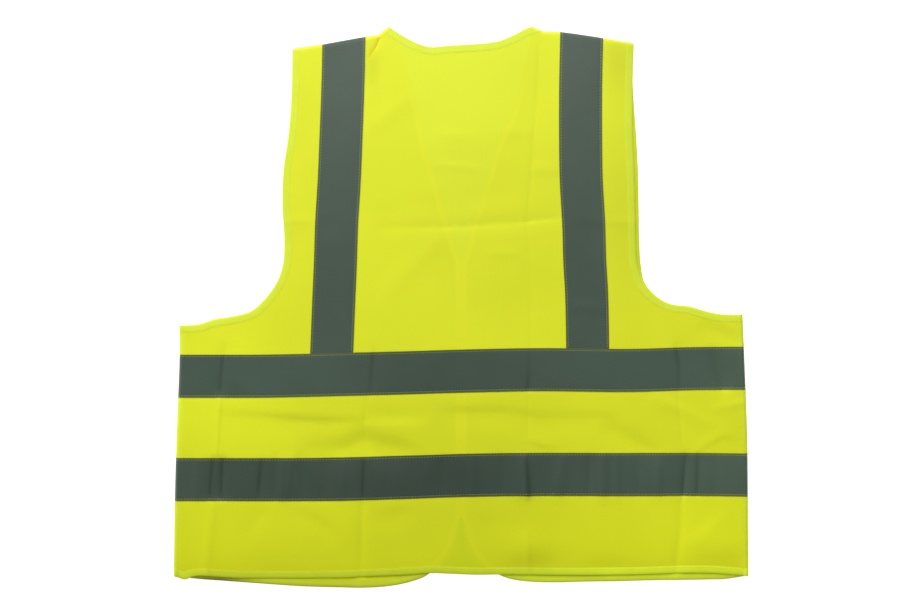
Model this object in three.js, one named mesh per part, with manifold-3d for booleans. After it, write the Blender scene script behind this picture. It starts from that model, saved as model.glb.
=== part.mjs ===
// A high-visibility safety vest, laid flat on a surface with its back up and its fronts below it.
// Millimetres. +X is the wearer's right, +Y runs to the neck, +Z is up, and z = 0 is the surface.
import * as THREE from 'three';
import { mergeVertices } from 'three/addons/utils/BufferGeometryUtils.js';
import Module from 'manifold-3d';

const wasm = await Module();
wasm.setup();

// ---- driving dimensions ----------------------------------------------------------------------

const WALL = 1; // thickness of a panel, a tape and each leg of a binding
const GAP = 0.3; // clearance at seams and between layers
const LAYER = WALL + GAP;
const TAPE_WIDTH = 51.6;
const BINDING_WIDTH = 9;
const CLOSURE = { x: 0.3, gap: 0.4, top: 52, bottom: -251 }; // where the two fronts meet
const FASTENER = { width: 25, length: 80, top: 40, inset: 10.5 };
const REACH = 15; // how far a strip runs past the edge that trims it
const TALL = 40; // reach of a trimming prism above and below the surface
const STEPS_PER_ROW = 2; // straight steps that a curve takes between two rows of a table

// Layers from the surface up.
const LEVEL = {
  frontOuter: 0,
  front: LAYER,
  frontInner: 2 * LAYER,
  backInner: 3 * LAYER,
  back: 4 * LAYER,
  backOuter: 5 * LAYER,
};

// ---- the outline -----------------------------------------------------------------------------

// Back neck between the neck points, from the wearer's left to right.
const NECK_ROWS = [
  { x: -71, y: 326 },
  { x: -53, y: 316.6 },
  { x: -37, y: 312.1 },
  { x: -12, y: 313.9 },
  { x: 7, y: 314.9 },
  { x: 43, y: 318.6 },
  { x: 65, y: 327 },
  { x: 77, y: 333.6 },
];

const NECK_POINT = { left: { x: -87, y: 336.6 }, right: { x: 86, y: 336.6 } };
const SHOULDER_TIP = { left: { x: -202, y: 310.2 }, right: { x: 207.4, y: 316.7 } };

// Height of each shoulder between those, going out.
const SHOULDER_ROWS = [
  { out: 99, left: 326.6, right: 330.8 },
  { out: 120, left: 323.7, right: 330.3 },
  { out: 138, left: 320.4, right: 328 },
  { out: 165, left: 315.6, right: 323.9 },
];

// Armholes going down: the two edges of the back, and how far the right front shows past it.
const ARMHOLE_ROWS = [
  { y: 285, left: -202.6, right: 206.2, peek: 0 },
  { y: 248, left: -203.6, right: 205.8, peek: 2 },
  { y: 206, left: -207, right: 205.8, peek: 5 },
  { y: 164, left: -213, right: 207.6, peek: 5.4 },
  { y: 122, left: -214.2, right: 208.8, peek: 5 },
  { y: 80, left: -212, right: 209.4, peek: 5.2 },
  { y: 50, left: -213.8, right: 211.6, peek: 4.8 },
  { y: 29, left: -221.4, right: 218.8, peek: 2.4 },
  { y: 10, left: -235, right: 238.4, peek: 0.6 },
];

// Armholes going out below the arm: the height of each edge.
const UNDERARM_ROWS = [
  { out: 252, left: -5, right: 3.5 },
  { out: 275, left: -11.4, right: 0.4 },
  { out: 296, left: -14.8, right: -5.6 },
  { out: 314, left: -20.6, right: -8.8 },
  { out: 338, left: -22.4, right: -9.2 },
];

// Side seams going down.
const SIDE_ROWS = [
  { y: -62, left: -337.8, right: 340.2 },
  { y: -155, left: -341.4, right: 343.6 },
  { y: -249, left: -343.8, right: 344.6 },
  { y: -323, left: -345, right: 345 },
];

// Hem of the back, from the wearer's right to left.
const BACK_HEM_ROWS = [
  { x: 345, y: -323 },
  { x: 300, y: -319.8 },
  { x: 258, y: -320 },
  { x: 208, y: -321.6 },
  { x: 119, y: -322.2 },
  { x: 45, y: -321.5 },
  { x: 17, y: -321.8 },
  { x: -15, y: -320.6 },
  { x: -36, y: -319.9 },
  { x: -60, y: -321.6 },
  { x: -97, y: -323.4 },
  { x: -145, y: -325.6 },
  { x: -265, y: -325.8 },
  { x: -290, y: -324.3 },
  { x: -313, y: -322.8 },
  { x: -324, y: -324.6 },
  { x: -332, y: -326.8 },
  { x: -345, y: -323 },
];

// Hem of each front, from the side seam round its corner to the foot of the front edge.
const FRONT_HEM_ROWS = [
  { out: 345, left: -323, right: -323 },
  { out: 318, left: -326.4, right: -326.8 },
  { out: 300, left: -327.9, right: -327.5 },
  { out: 225, left: -333.2, right: -328.5 },
  { out: 190, left: -335.1, right: -329.5 },
  { out: 150, left: -336.1, right: -330.1 },
  { out: 112, left: -336.6, right: -331 },
  { out: 84, left: -334.8, right: -330.1 },
  { out: 59, left: -329.6, right: -326.8 },
  { out: 40, left: -321.4, right: -318.6 },
  { out: 20.5, left: -300.6, right: -300.6 },
  { out: 10.8, left: -282.6, right: -282.6 },
  { out: 4.6, left: -262, right: -262 },
];

// Neck edge of each front, from the shoulder down to the front edge.
const FRONT_NECK_ROWS = [
  { y: 290, left: -67, right: 77 },
  { y: 241, left: -52.4, right: 64 },
  { y: 182, left: -40.8, right: 40 },
  { y: 154, left: -31.6, right: 32.4 },
  { y: 98, left: -15.6, right: 13.6 },
  { y: 67, left: -5.4, right: 6.4 },
];

// ---- the tapes -------------------------------------------------------------------------------

// Centre lines of the two bands that go round the body.
const BAND_ROWS = [
  { x: -345, upper: -83, lower: -207 },
  { x: -231, upper: -82.8, lower: -207 },
  { x: -150, upper: -81, lower: -206.7 },
  { x: -70, upper: -79, lower: -204.5 },
  { x: 0, upper: -76.9, lower: -202 },
  { x: 95, upper: -75.1, lower: -200.7 },
  { x: 201, upper: -76.1, lower: -201 },
  { x: 275, upper: -74, lower: -200.8 },
  { x: 345, upper: -73.4, lower: -201.5 },
];

// Centre lines of the two braces that go over the shoulders.
const BRACE_ROWS = [
  { y: 345, left: -140, right: 145.3 },
  { y: 266, left: -141.6, right: 143.5 },
  { y: 200, left: -144, right: 143.4 },
  { y: 152, left: -146, right: 144.2 },
  { y: 101, left: -149.1, right: 147.1 },
  { y: 55, left: -150.6, right: 148.5 },
  { y: 15, left: -152.3, right: 150.7 },
  { y: -80, left: -156.1, right: 152.4 },
];

// ---- the creases of the back -----------------------------------------------------------------

const CREASES = ['outerLeft', 'innerLeft', 'innerRight', 'outerRight'];
const CREASE_HALF_WIDTH = 11;
const CROSS_CREASE = { y: 98, rise: 1.8 };

// Where each standing crease crosses a row, in x.
const CREASE_ROWS = [
  { y: 360, outerLeft: -270, innerLeft: -96, innerRight: 93, outerRight: 254 },
  { y: 240, outerLeft: -274, innerLeft: -100, innerRight: 88, outerRight: 256 },
  { y: 108, outerLeft: -279, innerLeft: -104, innerRight: 80, outerRight: 258 },
  { y: 98, outerLeft: -280, innerLeft: -104, innerRight: 80, outerRight: 258 },
  { y: 88, outerLeft: -280, innerLeft: -105, innerRight: 80, outerRight: 258 },
  { y: -28, outerLeft: -284, innerLeft: -106, innerRight: 82, outerRight: 260 },
  { y: -104, outerLeft: -287, innerLeft: -113, innerRight: 82, outerRight: 256 },
  { y: -176, outerLeft: -293, innerLeft: -115, innerRight: 82, outerRight: 270 },
  { y: -232, outerLeft: -299, innerLeft: -119, innerRight: 82, outerRight: 266 },
  { y: -360, outerLeft: -306, innerLeft: -121, innerRight: 82, outerRight: 260 },
];

// How far each crease stands up on the same rows.
const RISE_ROWS = [
  { outerLeft: 0, innerLeft: 0, innerRight: 1.6, outerRight: 0 },
  { outerLeft: 0, innerLeft: 0, innerRight: 2, outerRight: 0 },
  { outerLeft: 0, innerLeft: 0, innerRight: 2.2, outerRight: 0 },
  { outerLeft: 0, innerLeft: 0, innerRight: 2.4, outerRight: 0 },
  { outerLeft: 0, innerLeft: 0, innerRight: 2.2, outerRight: 0 },
  { outerLeft: 1.2, innerLeft: 0.8, innerRight: 1.8, outerRight: 1.4 },
  { outerLeft: 1.6, innerLeft: 1.8, innerRight: 1.4, outerRight: 1.8 },
  { outerLeft: 2, innerLeft: 1.8, innerRight: 2.2, outerRight: 1.6 },
  { outerLeft: 2, innerLeft: 1.4, innerRight: 2, outerRight: 2 },
  { outerLeft: 2.4, innerLeft: 1.4, innerRight: 1.8, outerRight: 2.4 },
];

const GRID_EDGE = 360; // how far the creased surface runs to each side

// ---- paths -----------------------------------------------------------------------------------

const point = (x, y) => new THREE.Vector3(x, y, 0);
const backwards = (path) => [...path].reverse();

function smooth(points) {
  const curve = new THREE.CatmullRomCurve3(points, false, 'centripetal');
  return curve.getPoints((points.length - 1) * STEPS_PER_ROW);
}

// Runs paths on from each other, leaving out a point that repeats the one before it.
const joined = (...paths) =>
  paths.flat().filter((p, i, all) => i === 0 || p.distanceTo(all[i - 1]) > 0.01);
const closed = (...paths) => joined(...paths).slice(0, -1);

// The edges of one side. Every path and outline runs clockwise round its piece, seen from above,
// so that the piece is always on its right.
function sideEdges(side) {
  const sign = side === 'left' ? -1 : 1;
  const outerEdge = (path) => (side === 'left' ? backwards(path) : path);
  const neckEdge = (path) => (side === 'left' ? path : backwards(path));
  const outward = (row) => point(sign * row.out, row[side]);
  const downward = (row) => point(row[side], row.y);
  const neckPoint = point(NECK_POINT[side].x, NECK_POINT[side].y);
  const shoulderTip = point(SHOULDER_TIP[side].x, SHOULDER_TIP[side].y);
  const underarm = UNDERARM_ROWS.map(outward);
  const armhole = (shown) => {
    const down = ARMHOLE_ROWS.map((row) => point(row[side] + row.peek * shown, row.y));
    return smooth([shoulderTip, ...down, ...underarm]);
  };
  const closureX = CLOSURE.x + (sign * CLOSURE.gap) / 2;
  const neckDown = [neckPoint, ...FRONT_NECK_ROWS.map(downward), point(closureX, CLOSURE.top)];
  const hemInward = [...FRONT_HEM_ROWS.map(outward), point(closureX, CLOSURE.bottom)];
  return {
    shoulder: outerEdge([neckPoint, ...SHOULDER_ROWS.map(outward), shoulderTip]),
    backArmhole: outerEdge(armhole(0)),
    frontArmhole: outerEdge(armhole(side === 'right' ? 1 : 0)),
    sideSeam: outerEdge(smooth([underarm.at(-1), ...SIDE_ROWS.map(downward)])),
    frontNeck: neckEdge(smooth(neckDown)),
    frontHem: outerEdge(smooth(hemInward)),
  };
}

const left = sideEdges('left');
const right = sideEdges('right');
const backNeck = smooth(
  [NECK_POINT.left, ...NECK_ROWS, NECK_POINT.right].map((row) => point(row.x, row.y)),
);
const backHem = smooth(BACK_HEM_ROWS.map((row) => point(row.x, row.y)));
const leftFrontEdge = joined(left.frontNeck, left.frontHem);
const rightFrontEdge = joined(right.frontHem, right.frontNeck);

const backOutline = closed(
  backNeck,
  right.shoulder,
  right.backArmhole,
  right.sideSeam,
  backHem,
  left.sideSeam,
  left.backArmhole,
  left.shoulder,
);
const leftFrontOutline = closed(leftFrontEdge, left.sideSeam, left.frontArmhole, left.shoulder);
const rightFrontOutline = closed(
  right.shoulder,
  right.frontArmhole,
  right.sideSeam,
  rightFrontEdge,
);

function rightNormal(from, to) {
  const along = to.clone().sub(from).normalize();
  return point(along.y, -along.x);
}

// Moves a path to its right, with mitred corners.
function offset(path, distance, closed = false) {
  const count = path.length;
  return path.map((p, i) => {
    const first = !closed && i === 0;
    const last = !closed && i === count - 1;
    const after = last ? null : rightNormal(p, path[(i + 1) % count]);
    const before = first ? after : rightNormal(path[(i + count - 1) % count], p);
    const mitre = before.clone().add(after ?? before);
    return p.clone().addScaledVector(mitre, distance / (1 + before.dot(after ?? before)));
  });
}

// The outline of a strip between two offsets of a path, run on past both of its ends.
function strip(path, from, to) {
  const start = path[0].clone().sub(path[1]).setLength(REACH).add(path[0]);
  const end = path.at(-1).clone().sub(path.at(-2)).setLength(REACH).add(path.at(-1));
  const run = [start, ...path, end];
  return [...offset(run, from), ...backwards(offset(run, to))];
}

// ---- solids ----------------------------------------------------------------------------------

function solid(geometry) {
  geometry.deleteAttribute('normal');
  geometry.deleteAttribute('uv');
  const merged = mergeVertices(geometry);
  return new wasm.Manifold(
    new wasm.Mesh({
      numProp: 3,
      vertProperties: new Float32Array(merged.attributes.position.array),
      triVerts: new Uint32Array(merged.index.array),
    }),
  );
}

function prism(outline, bottom = -TALL, top = TALL) {
  const shape = new THREE.Shape(outline.map((p) => new THREE.Vector2(p.x, p.y)));
  const geometry = new THREE.ExtrudeGeometry(shape, { depth: top - bottom, bevelEnabled: false });
  return solid(geometry.translate(0, 0, bottom));
}

// The rows and columns of points that carry the creases; z is how far each stands up.
const creaseGrid = CREASE_ROWS.map((row, r) => {
  const cross = row.y === CROSS_CREASE.y ? CROSS_CREASE.rise : 0;
  const peaks = CREASES.flatMap((crease) =>
    [-1, 0, 1].map((step) => ({
      x: row[crease] + step * CREASE_HALF_WIDTH,
      rise: step === 0 ? RISE_ROWS[r][crease] : 0,
    })),
  );
  const ends = [{ x: -GRID_EDGE, rise: 0 }, { x: GRID_EDGE, rise: 0 }];
  const columns = [ends[0], ...peaks, ends[1]];
  return columns.map(({ x, rise }) => new THREE.Vector3(x, row.y, rise + cross));
});

// A slab of creased cloth between two heights. A flat bottom doesn't follow the creases.
function slab(bottom, top, flatBottom = false) {
  const rowCount = creaseGrid.length;
  const columnCount = creaseGrid[0].length;
  const over = rowCount * columnCount;
  const points = creaseGrid.flat();
  const lower = points.map((p) => [p.x, p.y, bottom + (flatBottom ? 0 : p.z)]);
  const upper = points.map((p) => [p.x, p.y, top + p.z]);
  const at = (r, c) => r * columnCount + c;
  const triangles = [];
  for (let r = 0; r < rowCount - 1; r += 1) {
    for (let c = 0; c < columnCount - 1; c += 1) {
      const [a, b, d, e] = [at(r, c), at(r + 1, c), at(r + 1, c + 1), at(r, c + 1)];
      triangles.push([a, d, b], [a, e, d]);
      triangles.push([a, b, d].map((i) => i + over), [a, d, e].map((i) => i + over));
    }
  }
  const down = creaseGrid.map((_, r) => at(r, 0));
  const across = creaseGrid[0].map((_, c) => at(rowCount - 1, c));
  const up = creaseGrid.map((_, r) => at(rowCount - 1 - r, columnCount - 1));
  const back = creaseGrid[0].map((_, c) => at(0, columnCount - 1 - c));
  for (const edge of [down, across, up, back]) {
    for (let i = 0; i < edge.length - 1; i += 1) {
      const [p, q] = [edge[i], edge[i + 1]];
      triangles.push([q + over, p + over, p], [q + over, p, q]);
    }
  }
  return new wasm.Manifold(
    new wasm.Mesh({
      numProp: 3,
      vertProperties: new Float32Array([...lower, ...upper].flat()),
      triVerts: new Uint32Array(triangles.flat()),
    }),
  );
}

// ---- shared forms ----------------------------------------------------------------------------

const within = (outline, inset = 0) => prism(offset(outline, inset, true));
const besideEdge = (edge, from, to) => prism(strip(edge, from, to));

const boundEdges = [
  backNeck,
  backHem,
  leftFrontEdge,
  rightFrontEdge,
  ...[left, right].flatMap((side) => [side.backArmhole, side.frontArmhole]),
];

// The thin wall at a fold, where a piece turns down from the back to the fronts.
function foldWall(edge, bottom, top) {
  const ring = within(backOutline).subtract(within(backOutline, WALL));
  return ring.intersect(besideEdge(edge, -GAP, LAYER)).intersect(slab(bottom, top, true));
}

// A tape folded over an edge of the back, with the panel's edge in its slot.
function backBinding(edge) {
  const leg = besideEdge(edge, -GAP, BINDING_WIDTH);
  const outside = within(backOutline).intersect(slab(LEVEL.backInner, LEVEL.backOuter + WALL));
  const slot = within(backOutline, WALL).intersect(slab(LEVEL.back - GAP, LEVEL.backOuter));
  return outside.intersect(leg).subtract(slot);
}

// A tape folded over an edge of a front.
function frontBinding(outline, edge) {
  const leg = besideEdge(edge, -GAP, BINDING_WIDTH);
  const outside = prism(outline, 0, LEVEL.frontInner + WALL);
  const slot = prism(offset(outline, WALL, true), LEVEL.front - GAP, LEVEL.frontInner);
  return outside.intersect(leg).subtract(slot);
}

const bandPath = (band) => smooth(BAND_ROWS.map((row) => point(row.x, row[band])));
const bandStrip = (band, spare = 0) =>
  besideEdge(bandPath(band), -TAPE_WIDTH / 2 - spare, TAPE_WIDTH / 2 + spare);
const bracePath = (side) => smooth(BRACE_ROWS.map((row) => point(row[side], row.y)));

// ---- the pieces ------------------------------------------------------------------------------

// The panel, with its edge turned down at the shoulders and sides to meet the fronts.
function backPanel() {
  const cloth = within(backOutline, LAYER);
  const ring = cloth.subtract(within(backOutline, LAYER + WALL));
  let turned = ring.intersect(slab(LEVEL.frontInner, LEVEL.back + WALL / 2, true));
  for (const edge of boundEdges) {
    turned = turned.subtract(besideEdge(edge, -GAP, BINDING_WIDTH + GAP));
  }
  return cloth.intersect(slab(LEVEL.back, LEVEL.back + WALL)).add(turned);
}

const frontPanel = (outline) =>
  prism(offset(outline, LAYER, true), LEVEL.front, LEVEL.front + WALL);

// One tape round an armhole: over the back's edge, under the arm, and over the front's edge.
function armholeBinding(edges, frontOutline) {
  const folded = [edges.shoulder, edges.sideSeam].map((fold) =>
    foldWall(fold, LEVEL.frontInner + WALL / 2, LEVEL.backInner + WALL / 2).intersect(
      besideEdge(edges.backArmhole, -GAP, BINDING_WIDTH),
    ),
  );
  return backBinding(edges.backArmhole)
    .add(frontBinding(frontOutline, edges.frontArmhole))
    .add(folded[0])
    .add(folded[1]);
}

const backBand = (band) =>
  bandStrip(band)
    .intersect(within(backOutline, LAYER))
    .intersect(slab(LEVEL.backOuter, LEVEL.backOuter + WALL));

const frontBand = (band, outline, frontEdge) =>
  bandStrip(band)
    .intersect(prism(offset(outline, LAYER, true), 0, WALL))
    .subtract(besideEdge(frontEdge, -GAP, BINDING_WIDTH + GAP));

// One tape from the back's upper band over the shoulder to the front's upper band.
function brace(side, shoulder, frontOutline) {
  const tape = besideEdge(bracePath(side), -TAPE_WIDTH / 2, TAPE_WIDTH / 2)
    .subtract(bandStrip('upper', GAP));
  const onBack = within(backOutline).intersect(slab(LEVEL.backOuter, LEVEL.backOuter + WALL));
  const onFront = prism(frontOutline, 0, WALL);
  const overShoulder = foldWall(shoulder, WALL / 2, LEVEL.backOuter + WALL / 2);
  return onBack.add(onFront).add(overShoulder).intersect(tape);
}

function fastenerStrip(sign, level) {
  const near = CLOSURE.x + sign * FASTENER.inset;
  const far = near + sign * FASTENER.width;
  const bottom = FASTENER.top - FASTENER.length;
  const corners = [[near, FASTENER.top], [far, FASTENER.top], [far, bottom], [near, bottom]];
  return prism(corners.map(([x, y]) => point(x, y)), level, level + WALL);
}

// ---- the scene graph -------------------------------------------------------------------------

const COLOUR = { cloth: 0xdde62e, binding: 0xcbd92c, tape: 0x6d786e, fastener: 0xd2dc30 };

const vest = new THREE.Group();

function addPiece(name, form, colour, roughness) {
  const { vertProperties, triVerts } = form.getMesh();
  const geometry = new THREE.BufferGeometry();
  geometry.setAttribute('position', new THREE.BufferAttribute(vertProperties, 3));
  geometry.setIndex(new THREE.BufferAttribute(triVerts, 1));
  geometry.computeVertexNormals();
  const material = new THREE.MeshStandardMaterial({ color: colour, roughness, metalness: 0 });
  const mesh = new THREE.Mesh(geometry, material);
  mesh.name = name;
  vest.add(mesh);
}

addPiece('back_panel', backPanel(), COLOUR.cloth, 0.8);
addPiece('front_panel_left', frontPanel(leftFrontOutline), COLOUR.cloth, 0.8);
addPiece('front_panel_right', frontPanel(rightFrontOutline), COLOUR.cloth, 0.8);

addPiece('neck_binding_back', backBinding(backNeck), COLOUR.binding, 0.7);
addPiece('hem_binding_back', backBinding(backHem), COLOUR.binding, 0.7);
addPiece('front_binding_left', frontBinding(leftFrontOutline, leftFrontEdge), COLOUR.binding, 0.7);
addPiece(
  'front_binding_right',
  frontBinding(rightFrontOutline, rightFrontEdge),
  COLOUR.binding,
  0.7,
);
addPiece('armhole_binding_left', armholeBinding(left, leftFrontOutline), COLOUR.binding, 0.7);
addPiece('armhole_binding_right', armholeBinding(right, rightFrontOutline), COLOUR.binding, 0.7);

for (const band of ['upper', 'lower']) {
  addPiece(`back_band_${band}`, backBand(band), COLOUR.tape, 0.5);
  const onLeft = frontBand(band, leftFrontOutline, leftFrontEdge);
  const onRight = frontBand(band, rightFrontOutline, rightFrontEdge);
  addPiece(`front_band_${band}_left`, onLeft, COLOUR.tape, 0.5);
  addPiece(`front_band_${band}_right`, onRight, COLOUR.tape, 0.5);
}
addPiece('brace_left', brace('left', left.shoulder, leftFrontOutline), COLOUR.tape, 0.5);
addPiece('brace_right', brace('right', right.shoulder, rightFrontOutline), COLOUR.tape, 0.5);

addPiece('hook_strip', fastenerStrip(-1, LEVEL.frontInner), COLOUR.fastener, 0.9);
addPiece('loop_strip', fastenerStrip(1, LEVEL.frontOuter), COLOUR.fastener, 0.9);

export default vest;
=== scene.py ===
"""Looks of a high-visibility safety vest that lies flat with its back up.

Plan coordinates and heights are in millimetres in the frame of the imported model, and MM turns them
into metres where a mesh is made. +X is the wearer's right, +Y runs to the neck, +Z is up.
"""
import math
import random

import bpy
import numpy as np
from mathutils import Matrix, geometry, kdtree


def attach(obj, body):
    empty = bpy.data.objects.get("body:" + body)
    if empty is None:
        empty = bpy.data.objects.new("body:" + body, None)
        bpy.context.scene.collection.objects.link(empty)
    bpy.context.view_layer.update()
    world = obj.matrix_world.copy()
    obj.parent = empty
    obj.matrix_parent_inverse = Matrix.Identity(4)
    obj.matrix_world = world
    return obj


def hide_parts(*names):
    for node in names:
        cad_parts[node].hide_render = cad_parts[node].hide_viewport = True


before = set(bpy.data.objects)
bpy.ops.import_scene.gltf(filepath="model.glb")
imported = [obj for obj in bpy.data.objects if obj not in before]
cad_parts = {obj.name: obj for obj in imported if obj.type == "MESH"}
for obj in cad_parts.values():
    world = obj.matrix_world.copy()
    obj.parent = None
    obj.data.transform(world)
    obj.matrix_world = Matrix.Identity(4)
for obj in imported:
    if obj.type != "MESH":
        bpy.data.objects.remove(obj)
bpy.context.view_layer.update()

MM = 0.001
draw = random.Random(7)

# ---- sizes ----

CLOTH, TAPE, BINDING = 0.45, 0.35, 0.18  # thicknesses
HALF_TAPE = 25.8  # half the width of a tape
TAPE_STITCH = 23.3  # from the tape's centre line
BINDING_STITCH = 7.2  # from the bound edge
CLEAR = 0.04  # between a panel and what is sewn to it
REACH = 20  # how far a line runs past the edge that cuts it

BACK_MID, FRONT_MID = 5.98, 0.9  # heights of the middle of the cloth
BACK_FADE, FRONT_FADE = 6, 14  # how far from a seam the creases and sags have their full height
TURN = 3.4  # how far from a shoulder or side seam the cloth starts to turn
BACK_DROP, FRONT_LIFT = 3.7, 0.5  # how far the cloth turns down or up at a seam
SEAM_Z = 1.7  # height of what goes round a seam
PRESSED = 0.3  # how far the back's cloth is pressed down below the tapes
TAPE_EDGE = (0.6, 2.2)  # how far in from a tape's edge the press starts and is full
INSET = 1.7  # how far a panel ends inside its bound edges
OVERHANG = 0.3  # how far it runs past its seams

# ---- the outline ----

# Which column of a table is a side's, and the sign of x on that side. As the sides mirror each
# other, what runs clockwise on one of them is in reverse order on the other.
COLUMN = {"left": 1, "right": 2}
SIGN = {"left": -1, "right": 1}
FINE, COARSE = 1.5, 3.0  # spacing of points along curves and ribbons

NECK_POINT = {"left": (-87, 336.6), "right": (86, 336.6)}
SHOULDER_TIP = {"left": (-202, 310.2), "right": (207.4, 316.7)}

# Back neck between the neck points: x, y.
NECK = [
    (-71, 326), (-53, 316.6), (-37, 312.1), (-12, 313.9), (7, 314.9), (43, 318.6), (65, 327),
    (77, 333.6),
]

# Shoulders, going out: distance out, height of the left one, height of the right one.
SHOULDER = [(99, 326.6, 330.8), (120, 323.7, 330.3), (138, 320.4, 328), (165, 315.6, 323.9)]

# Armholes, going down: height, left x, right x, how far the right front shows past the back.
ARMHOLE = [
    (285, -202.6, 206.2, 0), (248, -203.6, 205.8, 2), (206, -207, 205.8, 5),
    (164, -213, 207.6, 5.4), (122, -214.2, 208.8, 5), (80, -212, 209.4, 5.2),
    (50, -213.8, 211.6, 4.8), (29, -221.4, 218.8, 2.4), (10, -235, 238.4, 0.6),
]

# Underarms, going out: distance out, left height, right height.
UNDERARM = [(252, -5, 3.5), (275, -11.4, 0.4), (296, -14.8, -5.6), (314, -20.6, -8.8), (338, -22.4, -9.2)]

# Side seams, going down: height, left x, right x.
SIDE = [(-62, -337.8, 340.2), (-155, -341.4, 343.6), (-249, -343.8, 344.6), (-323, -345, 345)]

# Hem of the back, from right to left: x, y.
BACK_HEM = [
    (345, -323), (300, -319.8), (258, -320), (208, -321.6), (119, -322.2), (45, -321.5),
    (17, -321.8), (-15, -320.6), (-36, -319.9), (-60, -321.6), (-97, -323.4), (-145, -325.6),
    (-265, -325.8), (-290, -324.3), (-313, -322.8), (-324, -324.6), (-332, -327.4), (-345, -323),
]

# Hem of each front, from the side seam to the foot of the front edge: distance out, left y, right y.
FRONT_HEM = [
    (345, -323, -323), (318, -326.9, -327.2), (300, -328.2, -327.8), (225, -333.8, -328.9),
    (190, -336, -329.9), (150, -337.2, -330.4), (112, -337.6, -331.3), (84, -335.4, -330.4),
    (59, -330, -327), (40, -322, -318.8), (20.5, -300.6, -300.6), (10.8, -282.6, -282.6),
    (4.6, -262, -262),
]

# Neck edge of each front, going down: height, left x, right x.
FRONT_NECK = [
    (290, -67, 77), (241, -52.4, 64), (182, -40.8, 40), (154, -31.6, 32.4), (98, -15.6, 13.6),
    (67, -5.4, 6.4),
]
# The upright edges where the fronts meet.
CLOSURE_X, CLOSURE_GAP, CLOSURE_TOP, CLOSURE_FOOT = 0.3, 0.4, 52, -251

# Centre lines of the bands: x, upper band's y, lower band's y.
BAND = [
    (-345, -83, -207), (-231, -82.8, -207), (-150, -81, -206.7), (-70, -79, -204.5),
    (0, -76.9, -202), (95, -75.1, -200.7), (201, -76.1, -201), (275, -74, -200.8),
    (345, -73.4, -201.5),
]

# Centre lines of the braces: y, left x, right x.
BRACE = [
    (345, -140, 145.3), (266, -141.6, 143.5), (200, -144, 143.4), (152, -146, 144.2),
    (101, -149.1, 147.1), (55, -150.6, 148.5), (15, -152.3, 150.7), (-80, -156.1, 152.4),
]

# ---- creases and sags ----

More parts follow.
